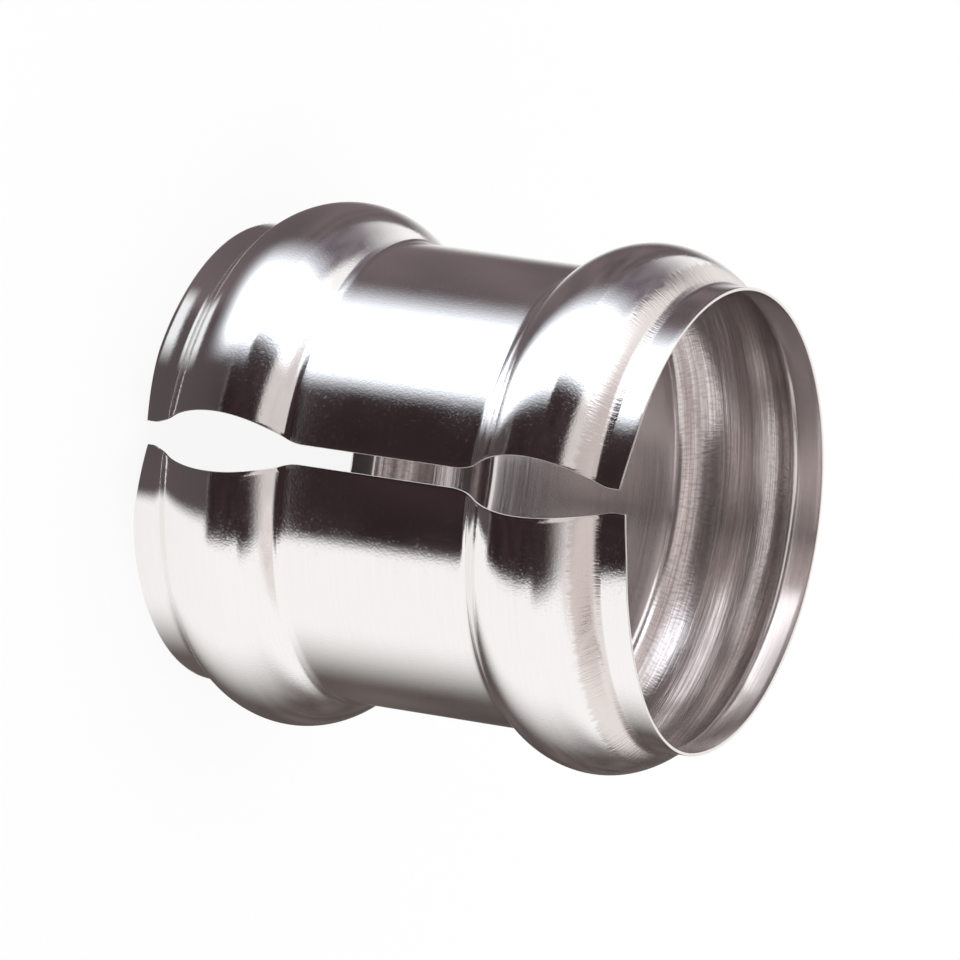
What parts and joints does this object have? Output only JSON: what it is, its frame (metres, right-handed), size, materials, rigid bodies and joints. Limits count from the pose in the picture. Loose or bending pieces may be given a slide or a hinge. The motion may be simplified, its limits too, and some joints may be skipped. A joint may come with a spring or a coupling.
{
  "type": "split sleeve slip coupling",
  "caption": "Thin stainless steel sleeve with a bulged bead near each end, split along its full length, that slips over butted pipe ends and is drawn down round them.",
  "frame": {"origin": "centre of the lower end of the sleeve, on the surface that it stands on", "axes": "+Z along the sleeve's axis towards its upper end, -Y towards the slit"},
  "size_m": [0.0882, 0.088, 0.089],
  "materials": {
    "bright_stainless_sheet": "bright rolled sheet with faint orange peel and fine roll marks"
  },
  "bodies": {
    "root": {"split_sleeve": "bright_stainless_sheet"}
  },
  "joints": []
}
